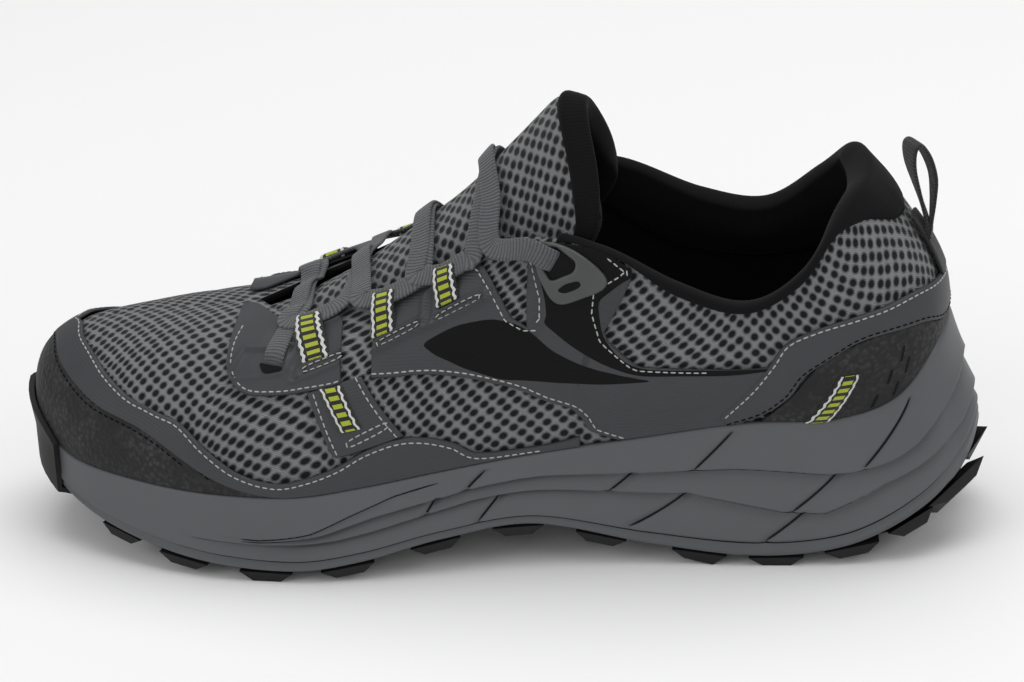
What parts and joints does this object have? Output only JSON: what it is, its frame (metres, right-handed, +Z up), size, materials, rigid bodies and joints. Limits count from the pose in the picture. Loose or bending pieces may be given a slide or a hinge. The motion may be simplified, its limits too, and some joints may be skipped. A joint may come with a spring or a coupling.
{
  "type": "trail running shoe",
  "caption": "Low trail running shoe: hollow mesh upper with overlays and padded collar, arched tongue, laces, sculpted foam midsole and lugged rubber outsole",
  "frame": {"origin": "on the ground under the middle of the shoe's box", "axes": "+X from toe to heel, +Y from the outer to the inner side, +Z up"},
  "size_m": [0.3054, 0.1034, 0.1405],
  "materials": {
    "film": "dark grey soft film overlay, stitched",
    "foam": "slate grey moulded foam with a soft skin",
    "footbed": "black knitted footbed cover",
    "knit": "black brushed knit, padded",
    "lace": "grey flat ribbed cord",
    "mesh": "grey open mesh over a black backing",
    "plate": "grey-green moulded plastic",
    "rubber": "black moulded rubber",
    "suede": "black grained suede",
    "tape": "black ribbed tape",
    "webbing": "lime, white and black woven webbing"
  },
  "bodies": {
    "root": {"outsole": "rubber", "midsole": "foam", "insole": "footbed", "upper": "mesh", "tongue": "mesh", "collar": "knit", "toe_cap": "suede", "toe_trim": "film", "heel_counter": "film", "heel_tape": "tape", "front_eyestay_lateral": "film", "eyestay_lateral": "film", "quarter_overlay_lateral": "film", "strap_patch_lateral": "film", "eyelet_plate_lateral": "plate", "heel_patch_lateral": "suede", "lace_loop_1_lateral": "webbing", "lace_loop_2_lateral": "webbing", "lace_loop_3_lateral": "webbing", "strap_webbing_lateral": "webbing", "heel_webbing_lateral": "webbing", "front_eyestay_medial": "film", "eyestay_medial": "film", "quarter_overlay_medial": "film", "strap_patch_medial": "film", "eyelet_plate_medial": "plate", "heel_patch_medial": "suede", "lace_loop_1_medial": "webbing", "lace_loop_2_medial": "webbing", "lace_loop_3_medial": "webbing", "strap_webbing_medial": "webbing", "heel_webbing_medial": "webbing", "pull_loop": "tape", "lace": "lace"}
  },
  "joints": []
}
